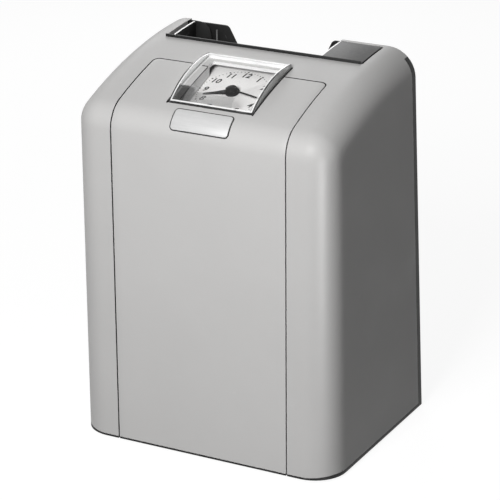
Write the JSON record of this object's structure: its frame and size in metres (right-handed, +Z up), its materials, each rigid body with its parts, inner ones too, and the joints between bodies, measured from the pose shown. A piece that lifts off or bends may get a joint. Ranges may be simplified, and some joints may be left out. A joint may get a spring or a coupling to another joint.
{
  "type": "time clock",
  "caption": "Desk time clock: lift-off rounded case with a tilted dial under a bulged crystal and a card throat in its top, over a card printer.",
  "frame": {"origin": "bottom centre of the box round the object, on the surface it stands on", "axes": "+Z up, -Y out of the front with the dial and panel, +X to the right seen from the front"},
  "size_m": [0.2, 0.1492, 0.2739],
  "materials": {
    "case_enamel": "grey satin enamel",
    "panel_enamel": "grey satin enamel",
    "crystal": "clear polished",
    "nameplate": "satin, bare",
    "lock_chrome": "polished",
    "brass": "machined",
    "base_enamel": "dark grey enamel",
    "rubber": "matte",
    "receiver_black": "black enamel",
    "receiver_grey": "mid grey enamel",
    "guide_steel": "plain sheet",
    "zinc": "zinc plated",
    "steel": "ground",
    "motor_grey": "grey enamel",
    "copper_coil": "varnished winding",
    "black_plastic": "moulded",
    "ribbon_cloth": "inked cloth",
    "dial_card": "matte white",
    "hand_black": "black"
  },
  "bodies": {
    "base": {"base_plate": "base_enamel", "feet": "rubber", "back_plate": "base_enamel", "back_screws": "steel", "rear_plate": "receiver_black", "receiver_left": "receiver_grey", "top_plate": "receiver_grey", "card_guide_front": "guide_steel", "card_guide_rear": "guide_steel", "card_stop": "guide_steel", "frame_left": "zinc", "frame_right": "zinc", "tie_rods": "zinc", "motor": "motor_grey", "dial_plate": "dial_card", "movement_plate": "zinc", "arbor_bracket": "zinc", "hammer_pin": "steel", "hammer_bracket": "zinc", "solenoid_coil": "copper_coil", "solenoid_frame": "zinc", "trigger_bracket": "zinc", "switch": "black_plastic", "spool_bracket_left": "zinc", "spool_bracket_right": "zinc", "ribbon": "ribbon_cloth", "lock_catch": "zinc", "inlet_bush": "black_plastic", "terminal_block": "black_plastic"},
    "cover": {"cover": "case_enamel", "front_panel": "panel_enamel", "crystal": "crystal", "nameplate": "nameplate", "lock_barrel": "lock_chrome"},
    "lock": {"lock_plug": "brass"},
    "drive": {"drive_shaft": "brass", "minute_wheel": "brass"},
    "pinion": {"motor_pinion": "brass"},
    "hour_type": {"hour_wheel": "brass"},
    "day_type": {"day_wheel": "brass"},
    "arbor": {"minute_arbor": "brass", "minute_hand": "hand_black"},
    "motion": {"motion_wheel": "brass"},
    "pipe": {"hour_pipe": "brass", "hour_hand": "hand_black"},
    "hammer": {"hammer": "steel"},
    "plunger": {"plunger": "steel"},
    "trigger": {"trigger": "zinc"},
    "ribbon_supply": {"spool_left": "black_plastic"},
    "ribbon_takeup": {"spool_right": "black_plastic"}
  },
  "joints": [
    {"name": "cover_lift", "type": "slide", "parent": "base", "child": "cover", "axis": [0, 0, 1], "range_m": [0, 0.28]},
    {"name": "lock_turn", "type": "hinge", "parent": "cover", "child": "lock", "pos_m": [-0.09, -0.02, 0.152], "axis": [1, 0, 0], "range_deg": [0, 90]},
    {"name": "minute_drive", "type": "hinge", "parent": "base", "child": "drive", "pos_m": [0, 0.0088, 0.1523], "axis": [1, 0, 0], "continuous": true},
    {"name": "motor_spin", "type": "hinge", "parent": "base", "child": "pinion", "pos_m": [0.03, -0.0192, 0.1523], "axis": [1, 0, 0], "continuous": true},
    {"name": "hour_type_turn", "type": "hinge", "parent": "base", "child": "hour_type", "pos_m": [-0.03, 0.0088, 0.1523], "axis": [1, 0, 0], "continuous": true},
    {"name": "day_type_turn", "type": "hinge", "parent": "base", "child": "day_type", "pos_m": [-0.038, 0.0088, 0.1523], "axis": [1, 0, 0], "continuous": true},
    {"name": "minute_hand_turn", "type": "hinge", "parent": "base", "child": "arbor", "pos_m": [0, -0.024, 0.25205], "axis": [0, -0.3123, 0.95], "continuous": true},
    {"name": "motion_wheel_turn", "type": "hinge", "parent": "base", "child": "motion", "pos_m": [0.012, -0.024, 0.25205], "axis": [0, -0.3123, 0.95], "continuous": true},
    {"name": "hour_hand_turn", "type": "hinge", "parent": "base", "child": "pipe", "pos_m": [0, -0.024, 0.25205], "axis": [0, -0.3123, 0.95], "continuous": true},
    {"name": "hammer_strike", "type": "hinge", "parent": "base", "child": "hammer", "pos_m": [-0.03, 0.057, 0.1223], "axis": [1, 0, 0], "range_deg": [0, 11], "stiffness_Nm_per_rad": 0.05, "springref_deg": -20.05},
    {"name": "plunger_pull", "type": "slide", "parent": "base", "child": "plunger", "axis": [0, 0, 1], "range_m": [-0.0016, 0]},
    {"name": "trigger_dip", "type": "hinge", "parent": "base", "child": "trigger", "pos_m": [-0.005, 0.025, 0.062], "axis": [1, 0, 0], "range_deg": [-25, 0], "stiffness_Nm_per_rad": 0.004, "springref_deg": 28.65},
    {"name": "ribbon_feed", "type": "hinge", "parent": "base", "child": "ribbon_supply", "pos_m": [-0.07, 0.018, 0.1523], "axis": [0, 0, 1], "continuous": true},
    {"name": "ribbon_takeup_turn", "type": "hinge", "parent": "base", "child": "ribbon_takeup", "pos_m": [0.06, 0.018, 0.1523], "axis": [0, 0, 1], "continuous": true}
  ],
  "couplings": [
    {"joint": "motor_spin", "follows": "minute_drive", "ratio": -4},
    {"joint": "hour_type_turn", "follows": "minute_drive", "ratio": 0.041667},
    {"joint": "day_type_turn", "follows": "minute_drive", "ratio": 0.0059524},
    {"joint": "minute_hand_turn", "follows": "minute_drive", "ratio": -1},
    {"joint": "motion_wheel_turn", "follows": "minute_drive", "ratio": 0.33333},
    {"joint": "hour_hand_turn", "follows": "minute_drive", "ratio": -0.083333},
    {"joint": "plunger_pull", "follows": "hammer_strike", "m_per_rad": -0.007},
    {"joint": "ribbon_takeup_turn", "follows": "ribbon_feed", "ratio": 1}
  ]
}
